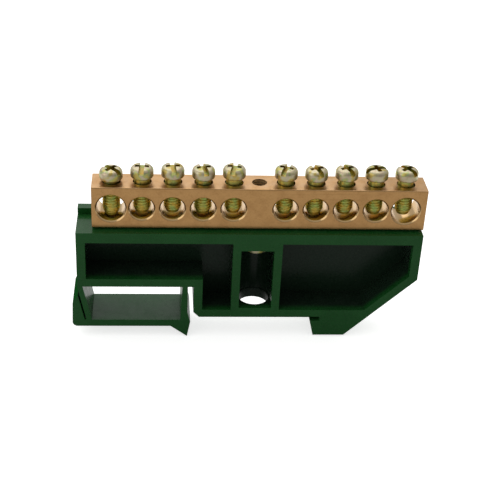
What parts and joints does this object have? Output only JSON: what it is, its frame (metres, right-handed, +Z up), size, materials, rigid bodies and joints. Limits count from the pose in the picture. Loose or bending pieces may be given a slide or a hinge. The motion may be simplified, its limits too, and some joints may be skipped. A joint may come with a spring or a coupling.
{
  "type": "earth terminal bar",
  "caption": "Brass earth bar with cross-drilled wire ways and clamp screws, on a moulded carrier that clips onto a 35 mm rail.",
  "frame": {"origin": "on the fixing screw's axis, in the plane of the rail seat", "axes": "+X along the bar, away from the spring clip; +Y to the closed back; +Z up, away from the rail"},
  "size_m": [0.091, 0.0126, 0.0481],
  "materials": {
    "green_plastic": "moulded dark green thermoplastic, glossy",
    "drawn_brass": "drawn and drilled brass, matt",
    "yellow_zinc": "steel, zinc plated and yellow passivated, iridescent"
  },
  "bodies": {
    "holder": {"carrier": "green_plastic", "busbar": "drawn_brass", "fixing_screw": "yellow_zinc"},
    "screw_1": {"terminal_screw_1": "yellow_zinc"},
    "screw_2": {"terminal_screw_2": "yellow_zinc"},
    "screw_3": {"terminal_screw_3": "yellow_zinc"},
    "screw_4": {"terminal_screw_4": "yellow_zinc"},
    "screw_5": {"terminal_screw_5": "yellow_zinc"},
    "screw_6": {"terminal_screw_6": "yellow_zinc"},
    "screw_7": {"terminal_screw_7": "yellow_zinc"},
    "screw_8": {"terminal_screw_8": "yellow_zinc"},
    "screw_9": {"terminal_screw_9": "yellow_zinc"},
    "screw_10": {"terminal_screw_10": "yellow_zinc"}
  },
  "joints": [
    {"name": "screw_1_travel", "type": "slide", "parent": "holder", "child": "screw_1", "axis": [0, 0, 1], "range_m": [-0.00005, 0.007]},
    {"name": "screw_2_travel", "type": "slide", "parent": "holder", "child": "screw_2", "axis": [0, 0, 1], "range_m": [-0.00015, 0.0058]},
    {"name": "screw_3_travel", "type": "slide", "parent": "holder", "child": "screw_3", "axis": [0, 0, 1], "range_m": [-0.00035, 0.0056]},
    {"name": "screw_4_travel", "type": "slide", "parent": "holder", "child": "screw_4", "axis": [0, 0, 1], "range_m": [-0.0001, 0.00585]},
    {"name": "screw_5_travel", "type": "slide", "parent": "holder", "child": "screw_5", "axis": [0, 0, 1], "range_m": [-0.00035, 0.0056]},
    {"name": "screw_6_travel", "type": "slide", "parent": "holder", "child": "screw_6", "axis": [0, 0, 1], "range_m": [-0.00025, 0.0057]},
    {"name": "screw_7_travel", "type": "slide", "parent": "holder", "child": "screw_7", "axis": [0, 0, 1], "range_m": [-0.0001, 0.00585]},
    {"name": "screw_8_travel", "type": "slide", "parent": "holder", "child": "screw_8", "axis": [0, 0, 1], "range_m": [-0.00035, 0.0056]},
    {"name": "screw_9_travel", "type": "slide", "parent": "holder", "child": "screw_9", "axis": [0, 0, 1], "range_m": [-0.00035, 0.0056]},
    {"name": "screw_10_travel", "type": "slide", "parent": "holder", "child": "screw_10", "axis": [0, 0, 1], "range_m": [-0.00095, 0.0061]}
  ]
}
